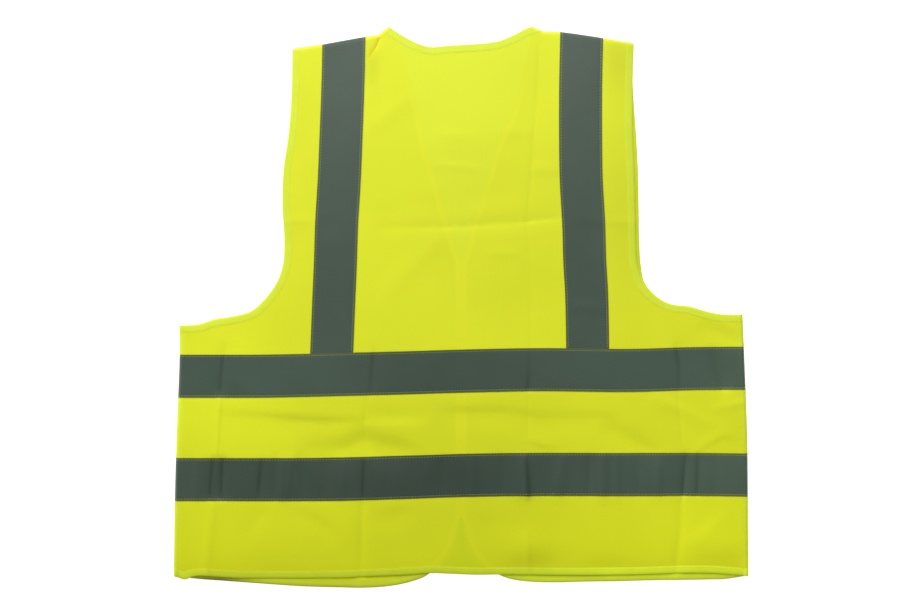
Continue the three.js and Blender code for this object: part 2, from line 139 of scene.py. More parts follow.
# Each crease of the back: how far it reaches to the left and to the right of its direction, whether
# it is sharp, and its x, y and rise along its run. A negative rise is a trough. Creases that run
# down the back have the wearer's right on their left.
BACK_CREASES = [
    # the fold near the wearer's left side
    (10, 8, True, [(-284, -40, 0), (-285, -56, -1.5), (-287.5, -80, -2), (-289.5, -101, -1.8),
        (-290, -109, 0)]),
    (2.5, 7, True, [(-288, -104, 0), (-288.5, -112, 0.7), (-291, -150, 0.9), (-292.5, -176, 0.8),
        (-293, -183, 0)]),
    (4, 5, True, [(-297, -177, 0), (-298, -184, -1), (-301, -226, -1.3), (-301, -234, 0)]),
    (12, 8, True, [(-286, -177, 0), (-286.5, -184, -2), (-288, -226, -2.2), (-288, -234, 0)]),
    (9, 14, True, [(-296, -228, 0), (-297, -238, 1.4), (-300.5, -270, 1.9), (-304.5, -310, 2),
        (-305.5, -327, 1.9)]),
    # the fold left of the middle
    (8, 3, True, [(-105, -44, 0), (-105.5, -56, -0.8), (-107.5, -80, -0.7), (-109, -100, -0.5),
        (-110, -108, 0)]),
    (5, 4.5, True, [(-111, -102, 0), (-112, -108, -0.3), (-116, -140, -0.5), (-115, -176, -0.4),
        (-115, -182, 0)]),
    (10, 3, True, [(-240, -178, 0), (-240, -186, -0.8), (-243, -220, -1.1), (-243, -231, 0)]),
    (5, 7, True, [(-116.5, -177, 0), (-117, -184, -0.7), (-118, -226, -1.1), (-118.5, -233, 0)]),
    (9, 8, True, [(-118, -228, 0), (-118.5, -236, -1.3), (-120, -300, -1.7), (-120, -327, -0.7)]),
    # the fold right of the middle
    (9, 3.2, True, [(93, 316, -0.4), (92, 280, -0.6), (89, 240, -0.6), (86, 200, -0.5), (84, 165, -0.6),
        (81, 130, -0.5), (79.5, 98, -0.4), (81, 40, -0.3), (82.5, -20, -0.3), (83, -50, -0.3)]),
    (10, 3, True, [(82.5, -48, 0), (82, -58, -0.2), (81.5, -78, -0.4), (80.5, -98, -0.9),
        (80.5, -104, 0)]),
    (4, 4, True, [(81, -98, 0), (81, -108, -0.3), (80, -160, -0.3), (79, -176, 0)]),
    (5, 10, True, [(77.5, -174, 0), (77.5, -184, 2.2), (80, -224, 3), (80.5, -233, 0.5),
        (80.5, -275, 0.4), (80.5, -296, 1), (80.5, -327, 0.4)]),
    # the folds near the wearer's right side
    (10, 3.5, True, [(258, -40, 0), (259, -52, -1.4), (262, -75, -0.9), (261, -98, -0.4),
        (260.5, -106, 0)]),
    (4.5, 4, True, [(260, -98, 0), (260.5, -108, -0.3), (266, -165, -0.4), (268, -176, 0)]),
    (9, 6, False, [(300, -42, 0), (303, -54, -0.6), (308, -75, -1.3), (315, -96, -1.8),
        (318, -106, 0)]),
    (5, 8, True, [(270, -170, 0), (269.5, -182, -2), (266.5, -224, -2.3), (266, -231, -0.8)]),
    (8, 3, True, [(284, -172, 0), (284, -184, -0.8), (283, -220, -0.9), (283, -232, 0)]),
    (9, 9, True, [(266, -227, -0.2), (265, -234, -1.2), (263, -270, -1.5), (259.5, -304, -1.5),
        (259, -326, -0.5)]),
    # the fold across the back
    (14, 9, True, [(-104, 94, 0), (-96, 94.5, -0.5), (-84, 95, -1.1), (-40, 95.5, -1.4), (0, 97, -1.7),
        (40, 99.5, -1.8), (70, 101.5, -1.6), (82, 102.5, -0.5), (90, 103, 0)]),
    (12, 5, True, [(72, 101, 0), (82, 102.5, -1), (100, 104.5, -1.2), (118, 105.5, -0.6),
        (126, 105.5, 0)]),
    (10, 8, True, [(-214, 102, 0.5), (-195, 103, 0.8), (-176, 103, 0.4), (-168, 103, 0)]),
    (10, 8, True, [(168, 102, 0), (176, 102, 0.4), (192, 102, 0.8), (208, 101, 0.5)]),
    # the tuck beside the neck on the wearer's left
    (3, 2.6, True, [(-94, 333, -1.4), (-97, 326, -1.8), (-101, 314, -1.7), (-107, 304, -1),
        (-113, 296, 0)]),
    (4, 10, False, [(-99, 308, 0), (-99, 298, -0.4), (-98, 282, -0.6), (-97, 268, -0.4),
        (-97, 256, 0)]),
    # wrinkles between the bands
    (5, 22, False, [(-294, -127, 0), (-280, -130, -0.7), (-240, -133, -1.3), (-200, -136.5, -2),
        (-165, -138.5, -1.8), (-128, -138.5, -0.8), (-108, -138, 0)]),
    (14, 6, False, [(-120, -133, 0), (-105, -133, -0.9), (-60, -133, -1.1), (-32, -133, 0)]),
    (13, 26, False, [(-200, -170, 0), (-160, -172, -2.6), (-135, -170, -3.6), (-117, -162, -3.4),
        (-100, -167, -3.8), (-75, -172, -3.6), (-55, -180, -2), (-36, -186, 0)]),
    (7.5, 20, False, [(-34, -126, 0), (-6, -128, -1.5), (60, -129, -1.5), (80, -133, -1.4),
        (92, -135, -1.3), (130, -135, -1.1), (180, -135, -0.7), (198, -134, 0)]),
    (9, 14, False, [(168, -140, 0), (184, -148, -1.3), (205, -160, -2), (228, -174, -1.6),
        (244, -184, 0)]),
    (8, 3, False, [(276, -177, 0), (286, -170, 0.4), (303, -160, 0.55), (315, -154, 0.5),
        (326, -156, 0.3), (334, -160, 0)]),
    (6, 9, False, [(226, -104, 0), (240, -112, 0.8), (262, -121, 0.9), (282, -131, 0.7),
        (302, -141, 0.4), (328, -153, 0)]),
    (4, 6, False, [(298, -123, 0), (314, -119, 0.6), (330, -116, 0.8), (343, -114, 0.4)]),
    (9, 3, False, [(74, -158, 0), (84, -161, 0.5), (97, -164, 0.7), (112, -167, 0.4), (126, -168, 0)]),
    # wrinkles of the upper back and the sides
    (7, 12, False, [(284, -19, 0), (300, -25, -1.2), (320, -35, -1.8), (334, -44, -1.2),
        (344, -52, 0)]),
    (12, 16, False, [(-8, 104, 0), (-25, 85, 0.7), (-50, 57, 0.9), (-75, 30, 0.8), (-86, 0, 0.5),
        (-92, -28, 0)]),
    (9, 12, False, [(-120, 204, 0), (-100, 222, 0.7), (-80, 238, 0.8), (-58, 252, 0.4), (-42, 260, 0)]),
    (8, 8, False, [(-118, 132, 0), (-105, 128, 0.5), (-90, 126, 0.5), (-70, 128, 0)]),
    (4, 6, False, [(-42, 173, 0), (-25, 171, 0.5), (0, 169, 0.6), (20, 167, 0.4), (36, 166, 0)]),
    (5, 7, False, [(-40, 205, 0), (-15, 207, 0.5), (5, 205, 0.4), (24, 204, 0)]),
    (5, 7, False, [(36, 207, 0), (60, 211, 0.4), (78, 211, 0.35), (88, 210, 0)]),
    (8, 6, False, [(82, 168, 0), (90, 166, 0.5), (112, 164, 0.6), (122, 163, 0)]),
    (5, 6, False, [(24, 67, 0), (38, 66, 0.4), (60, 64, 0.5), (74, 60, 0)]),
    # wrinkles of the lower back
    (7, 12, False, [(-228, -240, 0), (-240, -252, -0.6), (-252, -270, -0.7), (-258, -292, 0)]),
    (7, 12, False, [(-216, -242, 0), (-190, -250, -0.7), (-165, -264, -0.9), (-146, -284, 0)]),
    (9, 14, False, [(-114, -250, 0), (-95, -254, -1), (-75, -251, -0.9), (-54, -246, 0)]),
    (16, 30, False, [(-290, -320, 0), (-250, -321, -0.7), (-215, -322, -1.1), (-165, -322, -0.8),
        (-130, -320, 0)]),
    (7, 9, False, [(148, -309, 0), (165, -311, -0.7), (185, -312, -0.6), (206, -311, 0)]),
    (8, 12, False, [(266, -294, 0), (285, -280, 0.5), (305, -262, 0.6), (324, -244, 0)]),
    # the braces
    (6, 8, False, [(-178, 112, 0), (-162, 111, 0.16), (-146, 109, 0.08), (-128, 108, 0)]),
    (10, 12, False, [(-176, 80, 0), (-152, 77, 0.2), (-126, 79, 0)]),
    (7, 8, False, [(122, 5, 0), (142, 1, 0.4), (166, -2, 0.4), (180, -3, 0)]),
    (8, 8, False, [(122, 110, 0), (140, 107, 0.15), (164, 105, 0.2), (178, 105, 0)]),
]

# Upright ripples of the lower band: x at its top and foot, rise, and reach to the wearer's right and
# left.
RIPPLES = [
    (-326, -328, -0.5, 6, 6), (-314, -316, 0.5, 6, 5), (-222, -224, -0.6, 4, 5),
    (-211, -216, 0.6, 4, 4), (-202, -211, 0.6, 4, 4), (-194, -187, -0.7, 6, 5),
    (-161, -164, -0.7, 6, 6), (-139, -145, 0.5, 6, 5), (-90, -84, -0.5, 7, 7),
    (-20, -26, -0.6, 7, 7), (14, 14, 0.6, 6, 6), (52, 50, -0.5, 8, 8), (128, 110, 0.9, 8, 7),
    (154, 154, -0.7, 4, 4), (169, 170, 1, 6, 5), (187, 186, 0.6, 5, 4), (214, 212, -0.4, 7, 7),
    (236, 238, 0.6, 5, 6), (304, 306, -0.4, 7, 6),
]
RIPPLE_ROWS = [(-172, 0), (-186, 1), (-222, 1), (-238, 0)]  # y and share of the rise

# Broad sags and swells of the back: x, y, reach across, reach along, turn in degrees, rise.
BACK_SWELLS = [
    (-30, 235, 70, 60, 10, -0.7),
    (150, 215, 60, 80, -8, 0.6),
    (-160, 200, 50, 90, 5, 0.5),
    (50, 190, 45, 22, 4, -0.9),
    (20, 132, 40, 16, 4, -0.9),
    (-60, 122, 50, 14, 0, -0.7),
    (-60, 40, 90, 50, 20, -0.7),
    (60, 45, 60, 60, -15, 0.5),
    (160, 30, 60, 70, 0, -0.5),
    (-240, -70, 55, 70, 0, 0.6),
    (300, -90, 40, 80, 0, -0.6),
    (-60, -285, 60, 40, 0, -0.8),
    (78, -284, 30, 18, 0, 1),
    (40, -262, 26, 14, -8, -0.6),
    (160, -270, 70, 50, -10, 0.7),
    (-220, -275, 70, 30, 8, 0.9),
    (308, -286, 30, 18, 10, 0.9),
    (-325, -200, 30, 90, 0, -0.5),
]

# Broad patches of painted light and shade: x, y, reach across, reach along, share by which the colour is
# lighter.
CLOTH_LIGHT_AND_SHADE = [
    (20, -235, 110, 90, -0.09),
    (60, -130, 120, 50, -0.04),
    (190, 300, 24, 40, -0.14),
    (60, 90, 130, 110, -0.07),
    (195, 130, 36, 150, -0.1),
    (20, 176, 100, 22, -0.04),
    (80, 285, 50, 45, -0.04),
    (-107, 288, 11, 24, -0.09),
    (-300, -100, 80, 90, 0.15),
    (300, -270, 80, 60, 0.09),
    (-110, -290, 60, 30, -0.05),
    (94, -300, 24, 12, -0.1),
    (68, -306, 22, 8, -0.06),
    (308, -298, 34, 14, -0.05),
]
# Painted light and shade of the tapes, with the same columns: lighter towards their ends, darker in the
# middle of the lower band.
TAPE_LIGHT_AND_SHADE = [
    (-240, -83, 110, 60, 0.3),
    (-345, -140, 35, 120, 0.2),
    (190, -75, 100, 60, 0.2),
    (230, -200, 120, 60, 0.22),
    (0, -77, 90, 40, -0.03),
    (-50, -204, 130, 40, -0.24),
    (345, -140, 80, 150, 0.55),
    (-140, 290, 40, 60, 0.08),
    (-155, 130, 34, 150, 0.09),
    (168, 90, 16, 70, 0.1),
]
# Painted light and shade of the bindings: the back's have these on top of the cloth's, and the fronts'
# only their own.
# The darkest patch of the fronts' is a painted shadow under the left corner of the back's hem.
HEM_PAINTED_LIGHT = [(-324, -320, 24, 14, 0.13), (230, -320, 170, 30, 0.24)]
FRONT_LIGHT_AND_SHADE = [(-296, -328, 38, 5, -0.5), (-160, -330, 120, 30, -0.14), (230, -328, 150, 30, 0.06)]

# How much darker a binding is painted at its turn, as painted shade, and how far in that reaches.
EDGE_SHADE = {"neck": (0.16, 1.6), "hem": (0.2, 3), "front": (0.45, 1.3)}
# How much darker the tapes are painted along a hard fold, as painted shade in the fold and partly as
# wear of their coating there, how far that reaches to each side, and the rise from which a fold is fully
# hard.
FOLD_SHADE, FOLD_REACH, FOLD_RISE = 0.26, 2.6, 1.2

# The fronts lie on the surface, so their creases only lift them.
FRONT_CREASES = [
    (7, 7, False, [(-280, -30, 0), (-286, -110, 0.5), (-294, -200, 0.6), (-303, -330, 0.5)]),
    (6, 6, False, [(-108, -30, 0), (-115, -110, 0.4), (-119, -230, 0.5), (-121, -340, 0.4)]),
    (6, 6, False, [(90, 240, 0), (85, 140, 0.5), (82, -50, 0.5), (82, -335, 0.5)]),
    (7, 7, False, [(259, -30, 0), (257, -100, 0.5), (270, -175, 0.6), (261, -330, 0.5)]),
    (6, 6, False, [(-214, 99, 0.3), (-100, 102, 0.5), (-30, 100, 0.2), (60, 99, 0.4), (175, 102, 0.3)]),
]
FRONT_SWELLS = [
    (-150, 150, 60, 90, 10, 0.4),
    (150, 60, 60, 80, -8, 0.4),
    (-120, -140, 80, 40, 5, 0.3),
    (170, -130, 80, 40, -5, 0.3),
]

# ---- plan geometry ----


def between(t, a, b, first, second):
    """The mix of two points at t, which is a at the first and b at the second."""
    return ((b - t) * first + (t - a) * second) / (b - a)


def smooth(points, spacing=COARSE):
    """A centripetal Catmull-Rom curve through points, sampled about a spacing apart."""
    p = np.array(points, float)
    p = np.vstack([2 * p[0] - p[1], p, 2 * p[-1] - p[-2]])
    found = []
    for i in range(1, len(p) - 2):
        knots = np.cumsum([0.0] + [math.sqrt(math.dist(p[k], p[k + 1])) for k in range(i - 1, i + 2)])
        steps = max(1, round(math.dist(p[i], p[i + 1]) / spacing))
        for t in np.linspace(knots[1], knots[2], steps, endpoint=False):
            level = p[i - 1 : i + 3]
            for width in (1, 2):
                spans = zip(knots, knots[width:], level, level[1:])
                level = [between(t, *span) for span in spans]
            found.append(between(t, knots[1], knots[2], *level))
    return np.array(found + [p[-2]])


def straight(points):
    """Straight runs between points, sampled evenly."""
    p = np.array(points, float)
    runs = []
    for a, b in zip(p, p[1:]):
        steps = max(1, round(math.dist(a, b) / COARSE))
        runs.append(np.linspace(a, b, steps, endpoint=False))
    return np.vstack([*runs, p[-1:]])


def joined(*paths):
    """Paths run on from each other, without points that repeat the ones before them."""
    p = np.vstack(paths)
    repeated = 0.01
    keep = np.hypot(*np.diff(p, axis=0).T) > repeated
    return p[np.concatenate([[True], keep])]


def right_normals(path, closed=False):
    """Vectors to the right of a path at its points, lengthened so that an offset is mitred."""
    step = np.roll(path, -1, 0) - path
    if not closed:
        step[-1] = step[-2]
    step /= np.hypot(*step.T)[:, None]
    after = np.stack([step[:, 1], -step[:, 0]], 1)
    before = np.roll(after, 1, 0)
    if not closed:
        before[0] = after[0]
    return (before + after) / (1 + (before * after).sum(1))[:, None]


def offset(path, distance):
    """A path moved to its right."""
    return path + right_normals(path) * distance


def longer(path):
    """A path run on straight past both of its ends."""
    start, end = ((a - b) * REACH / np.hypot(*(a - b)) for a, b in (path[:2], path[:-3:-1]))
    return np.vstack([path[0] + start, path, path[-1] + end])


def lengths(path):
    """Distance along a path to each of its points."""
    return np.concatenate([[0], np.cumsum(np.sqrt((np.diff(path, axis=0) ** 2).sum(1)))])


def along(path, stops):
    """Points of a path at given distances along it."""
    run = lengths(path)
    return np.stack([np.interp(stops, run, column) for column in path.T], 1)


def crossing(path, edge):
    """Distance along a path to the place where it crosses an edge."""
    a, b = path[:-1], path[1:]
    c, d = edge[:-1], edge[1:]
    u, v = (b - a)[:, None], (d - c)[None]
    w = c[None] - a[:, None]
    area = u[..., 0] * v[..., 1] - u[..., 1] * v[..., 0]
    area = np.where(abs(area) < 1e-9, 1e-9, area)
    s = (w[..., 0] * v[..., 1] - w[..., 1] * v[..., 0]) / area
    t = (w[..., 0] * u[..., 1] - w[..., 1] * u[..., 0]) / area
    hit = np.argwhere((s >= 0) & (s <= 1) & (t >= 0) & (t <= 1))
    i, j = hit[len(hit) // 2]
    run = lengths(path)
    return run[i] + s[i, j] * (run[i + 1] - run[i])


def batches(points, others, most=1_000_000):
    """Points in parts that are each compared with the others at once, most pairs at a time."""
    return np.array_split(points, max(1, len(points) * len(others) // most))


def nearest(points, path):
    """Distance to a path from each point, positive to its right, and the path's values there."""
    found = []
    a, run = path[:-1], np.diff(path[:, :2], axis=0)
    square = (run**2).sum(1)
    for part in batches(points, a):
        gap = part[:, None] - a[None, :, :2]
        t = np.clip((gap * run).sum(2) / square, 0, 1)
        miss = gap - t[..., None] * run
        best = (miss**2).sum(2).argmin(1)
        row = np.arange(len(part))
        t, miss, gap, step = t[row, best], miss[row, best], gap[row, best], run[best]
        side = np.where(gap[:, 0] * step[:, 1] - gap[:, 1] * step[:, 0] >= 0, 1, -1)
        values = path[best] + t[:, None] * (path[best + 1] - path[best])
        found.append(np.column_stack([np.hypot(*miss.T) * side, values]))
    found = np.vstack(found)
    return found[:, 0], found[:, 1:]


def gap_to(points, *paths):
    """Distance from each point to the nearest of the paths."""
    return np.min([abs(nearest(points, path)[0]) for path in paths], axis=0)


def ringed(path):
    """A closed outline with its first point repeated at its end."""
    return np.vstack([path, path[:1]])


def inside(points, outline):
    """Which points lie inside a closed outline."""
    a, b = outline, np.roll(outline, -1, 0)
    found = []
    for part in batches(points, a):
        x, y = part[:, :1], part[:, 1:]
        spans = (a[:, 1] > y) != (b[:, 1] > y)
        rise = np.where(b[:, 1] == a[:, 1], 1, b[:, 1] - a[:, 1])
        found.append((spans & (x < a[:, 0] + (y - a[:, 1]) * (b[:, 0] - a[:, 0]) / rise)).sum(1) % 2)
    return np.concatenate(found) == 1


def ease(x, low, high):
    """0 below low, 1 above high, and a smooth step between."""
    t = np.clip((x - low) / (high - low), 0, 1)
    return t * t * (3 - 2 * t)


def side_edges(side):
    """The edges of one side. Each runs clockwise round its piece, so the piece is on its right."""
    column, sign = COLUMN[side], SIGN[side]
    neck_point, tip = NECK_POINT[side], SHOULDER_TIP[side]
    underarm = [(sign * row[0], row[column]) for row in UNDERARM]
    closure = CLOSURE_X + sign * CLOSURE_GAP / 2

    def downward(rows):
        return [(row[column], row[0]) for row in rows]

    def armhole(shown):
        down = [(row[column] + row[3] * shown, row[0]) for row in ARMHOLE]
        return smooth([tip, *down, *underarm], FINE)[::sign]

    shoulder = [neck_point, *((sign * row[0], row[column]) for row in SHOULDER), tip]
    neck = smooth([neck_point, *downward(FRONT_NECK), (closure, CLOSURE_TOP)])
    hem = smooth([*((sign * row[0], row[column]) for row in FRONT_HEM), (closure, CLOSURE_FOOT)])
    middle = straight([(closure, CLOSURE_TOP), (closure, CLOSURE_FOOT)])
    return {
        "shoulder": straight(shoulder)[::sign],
        "back_armhole": armhole(0),
        "front_armhole": armhole(1 if side == "right" else 0),
        "side": smooth([underarm[-1], *downward(SIDE)])[::sign],
        "front_edge": joined(neck, middle, hem[::-1])[::-sign],
    }


def ripple_crease(top, foot, rise, right, left):
    """A ripple of the lower band, as a crease."""
    steps = len(RIPPLE_ROWS) - 1
    rows = [(top + (foot - top) * i / steps, y, rise * share) for i, (y, share) in enumerate(RIPPLE_ROWS)]
    return right, left, False, rows


edges = {side: side_edges(side) for side in SIGN}
L, R = edges["left"], edges["right"]
back_neck = smooth([NECK_POINT["left"], *NECK, NECK_POINT["right"]], FINE)
back_hem = smooth(BACK_HEM, FINE)
bands = {band: smooth([(row[0], row[i]) for row in BAND]) for i, band in ((1, "upper"), (2, "lower"))}
braces = {side: smooth([(row[COLUMN[side]], row[0]) for row in BRACE]) for side in edges}
seams = [e[edge] for e in (L, R) for edge in ("shoulder", "side")]
back_creases = BACK_CREASES + [ripple_crease(*row) for row in RIPPLES]

# ---- heights ----

CREASE_STEP = 6  # spacing of a crease's points, for its heights
FADE = 1.3  # how fast a sharp crease fades to its sides

# Slow waves that keep the back uneven: share of their rise, length across and along, and start.
WAVE_RISE = 0.1
WAVES = [(1, 17.3, 41, 0.6), (0.7, 29.1, -23.7, 2.1), (0.5, 11.9, 14.3, 4)]

# Free edges of the back, how far they droop and how far in that reaches.
DROOPS = [(back_hem, 3, 14), (back_neck, 0.5, 8), *((e["back_armhole"], 0.7, 7) for e in (L, R))]


def relief(points, creases, swells):
    """How far creases and swells lift each point."""
    rise = np.zeros(len(points))
    for x, y, across, length, turn, height in swells:
        c, s = math.cos(math.radians(turn)), math.sin(math.radians(turn))
        dx, dy = points[:, 0] - x, points[:, 1] - y
        rise += height * np.exp(-(((dx * c + dy * s) / across) ** 2) - ((dy * c - dx * s) / length) ** 2)
    for left, right, sharp, rows in creases:
        path = smooth(rows, CREASE_STEP)
        reach = 4 * max(left, right)  # where nothing is left of its rise
        low, high = path[:, :2].min(0) - reach, path[:, :2].max(0) + reach
        close = np.flatnonzero(((points > low) & (points < high)).all(1))
        if not len(close):
            continue
        away, values = nearest(points[close], path)
        share = abs(away) / np.where(away > 0, right, left)
        rise[close] += values[:, 2] * (np.exp(-share * FADE) if sharp else np.exp(-(share**2)))
    return rise


def folds(points, creases):
    """How near each point is to a hard fold: 1 on it and 0 away from it, by the fold's depth."""
    found = np.zeros(len(points))
    for _, _, sharp, rows in creases:
        if sharp:
            away, values = nearest(points, smooth(rows, CREASE_STEP))
            hard = np.clip(abs(values[:, 2]) / FOLD_RISE, 0, 1)
            found = np.maximum(found, np.exp(-((away / FOLD_REACH) ** 2)) * hard)
    return found


def painted_light_share(points, light_and_shade):
    """The share by which a colour is painted lighter at each point, to stand for light and shade."""
    return relief(points, [], [(x, y, across, length, 0, share) for x, y, across, length, share in light_and_shade])


def waves(points):
    """How far the slow waves lift each point."""
    x, y = points.T
    return WAVE_RISE * sum(share * np.sin(x / a + y / b + start) for share, a, b, start in WAVES)


def back_height(points):
    """Height of the middle of the back's cloth. It droops towards its hem, neck and armholes."""
    gap = gap_to(points, *seams)
    lift = relief(points, back_creases, BACK_SWELLS) + waves(points)
    for edge, droop, reach in DROOPS:
        lift -= droop * np.exp(-gap_to(points, edge) / reach)
    return BACK_MID + lift * ease(gap, 0, BACK_FADE) - BACK_DROP * np.clip(1 - gap / TURN, 0, 1) ** 2


def front_height(points):
    """Height of the middle of the fronts' cloth."""
    gap = gap_to(points, *seams)
    lift = relief(points, FRONT_CREASES, FRONT_SWELLS) * ease(gap, 0, FRONT_FADE)
    return FRONT_MID + lift + FRONT_LIFT * np.clip(1 - gap / TURN, 0, 1) ** 2


def on_surface(height, points, outer):
    """Points on a layer, and its normals on the outer side: 1 is up and -1 is down."""
    step = 0.05
    z = height(points)
    slope_x = (height(points + [step, 0]) - z) / step
    slope_y = (height(points + [0, step]) - z) / step
    normal = np.column_stack([-slope_x, -slope_y, np.ones(len(points))])
    normal *= outer / np.sqrt((normal**2).sum(1))[:, None]
    return np.column_stack([points, z]), normal


# ---- meshes ----


def face_normals(points, faces):
    """Vertex normals of a surface, from its triangles or quads."""
    normal = np.zeros_like(points)
    f = np.array(faces)
    span = np.cross(points[f[:, 2]] - points[f[:, 0]], points[f[:, -1]] - points[f[:, 1]])
    for corner in f.T:
        np.add.at(normal, corner, span)
    return normal / np.maximum(np.sqrt((normal**2).sum(1)), 1e-12)[:, None]


def add_object(name, points, faces, material, values=None, crisp=None):
    """A mesh from points in millimetres, with named values at its points. Faces that meet at more
    than crisp degrees have a sharp edge between them."""
    mesh = bpy.data.meshes.new(name)
    mesh.from_pydata((points * MM).tolist(), [], faces)
    for key, column in (values or {}).items():
        mesh.attributes.new(key, "FLOAT", "POINT").data.foreach_set("value", column.astype(np.float32))
    mesh.shade_smooth()
    if crisp:
        mesh.set_sharp_from_angle(angle=math.radians(crisp))
    obj = bpy.data.objects.new(name, mesh)
    bpy.context.scene.collection.objects.link(obj)
    obj.data.materials.append(material)
    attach(obj, "root")
    return obj


def shell(name, points, faces, thickness, material, values=None):
    """A sheet of a given thickness about a surface."""
    normal = face_normals(points, faces)
    count = len(points)
    both = np.vstack([points + normal * thickness / 2, points - normal * thickness / 2])
    sides = {(f[k - 1], f[k]) for f in faces for k in range(len(f))}
    rim = [(b, a, a + count, b + count) for a, b in sides if (b, a) not in sides]
    under = [tuple(i + count for i in reversed(f)) for f in faces]
    doubled = {key: np.concatenate([column, column]) for key, column in (values or {}).items()}
    return add_object(name, both, [*faces, *under, *rim], material, doubled, crisp=50)


def piece(made, name):
    """Hides the CAD model's node that an object stands for, and gives the object back."""
    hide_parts(name)
    return made


def grid_faces(rows, columns, closed):
    """The quads between the points of a grid, whose rows may close into a ring."""
    faces = []
    for i in range(rows if closed else rows - 1):
        a, b = i * columns, (i + 1) % rows * columns
        faces += [(a + j, b + j, b + j + 1, a + j + 1) for j in range(columns - 1)]
    return faces


# The height of each layer, its outer side (1 is up) and the usual spacing of a ribbon's rows on it.
LAYERS = {"back": (back_height, 1, FINE), "front": (front_height, -1, COARSE)}
# How far the first rows of a ribbon are from a seam, where the cloth turns.
END_ROWS = np.array([0, 0.4, 1, 1.8, 2.7, 3.8])
FEWEST_ROWS = 8


def ribbon(path, offsets, start, end, spacing):
    """Lines beside a path at given offsets, each cut where it crosses the start and end edges.
    Gives the points by row along the path and by offset."""
    lines = []
    rows = None
    for distance in offsets:
        line = offset(longer(path), distance)
        first, last = crossing(line, longer(start)), crossing(line, longer(end))
        if rows is None:
            rows = max(FEWEST_ROWS, round(abs(last - first) / spacing))
            middle = np.linspace(0, 1, rows)[1:-1]
        run = abs(last - first)
        inner = END_ROWS[-1] + middle * (run - 2 * END_ROWS[-1])
        stops = np.concatenate([END_ROWS, inner, run - END_ROWS[::-1]])
        lines.append(along(line, first + np.sign(last - first) * stops))
    return np.stack(lines, 1)


def laid(layer, path, offsets, start, end, spacing=None):
    """A ribbon laid on the outer side of a layer: its points and its outer normals, as grids. Its
    rows have the layer's usual spacing, if no other is given."""
    height, outer, usual = LAYERS[layer]
    plan = ribbon(path, offsets, start, end, spacing or usual)
    return [grid.reshape(*plan.shape[:2], 3) for grid in on_surface(height, plan.reshape(-1, 2), outer)]


def stacked(*grids):
    """Grids of points and normals, one after another."""
    return [np.concatenate(parts) for parts in zip(*grids)]


def back_again(grids):
    """Grids of points and normals with their rows in the opposite order."""
    return [grid[::-1] for grid in grids]


def seam_row(row, away):
    """The row of a grid that goes round a seam beside another row, with its normal pointing out of
    the garment."""
    points = np.column_stack([row[:, :2], np.full(len(row), SEAM_Z)])
    return points[None], np.tile([*away, 0.0], (len(row), 1))[None]


# For each slot of ribbons, how far their columns stand off, their thickness and their look.
RIBBONS = {}


def ribbon_object(name, slot, points, normals, values, closed=False):
    """A binding or a tape from grids of points and outer normals."""
    lifts, thickness, look = RIBBONS[slot]
    rows, columns, _ = points.shape
    flat = (points + normals * np.array(lifts)[None, :, None]).reshape(-1, 3)
    faces = grid_faces(rows, columns, closed)
    turned = face_normals(flat, faces) * normals.reshape(-1, 3)
    seen = np.tile(np.array(lifts) > 0, rows)
    if turned[seen].sum() < 0:
        faces = [face[::-1] for face in faces]
    return piece(shell(f"{name}_tape", flat, faces, thickness, look, values), name)


def in_plan(points):
    """The plan places of a grid's points, in one list."""
    return points[..., :2].reshape(-1, 2)


def field(outline, spacing, uneven=0.1):
    """Points in staggered rows over the box of an outline; uneven is how far each is moved at
    random, as a share of the spacing."""
    low, high = outline.min(0), outline.max(0)
    points = []
    for i, y in enumerate(np.arange(low[1], high[1], spacing * 0.866)):
        for x in np.arange(low[0], high[0], spacing) + (i % 2) * spacing / 2:
            shift = [draw.uniform(-uneven, uneven) * spacing for _ in range(2)]
            points.append((x + shift[0], y + shift[1]))
    return np.array(points)


def panel_mesh(outline, dense, spacing):
    """Plan points and triangles of a panel: its outline, dense lines and an even field."""
    rim_gap, room = 0.35, 0.55 * spacing
    dense = np.vstack([p[:, :2] for p in dense])
    dense = dense[inside(dense, outline)]
    dense = dense[gap_to(dense, ringed(outline)) > rim_gap]
    tree = kdtree.KDTree(len(dense) + len(outline))
    for i, (x, y) in enumerate([*dense, *outline]):
        tree.insert((x, y, 0), i)
    tree.balance()
    even = field(outline, spacing)
    even = even[inside(even, outline)]
    clear = [tree.find((x, y, 0))[2] > room for x, y in even]
    points = np.vstack([outline, dense, even[clear]])
    loop = list(range(len(outline)))[::-1]
    found = geometry.delaunay_2d_cdt(points.tolist(), [], [loop], 1, 1e-4)
    used, index = np.unique(np.array(found[2]), return_inverse=True)
    plan = np.array([tuple(v) for v in found[0]])[used]
    faces = index.reshape(-1, 3)
    a, b, c = (plan[faces[:, k]] for k in range(3))
    turn = (b - a)[:, 0] * (c - a)[:, 1] - (b - a)[:, 1] * (c - a)[:, 0]
    faces[turn < 0] = faces[turn < 0][:, ::-1]
    return plan, [tuple(int(i) for i in f) for f in faces]


# ---- materials ----

WAVE_PERIOD = 0.314  # metres from stripe to stripe in a wave texture of scale 1


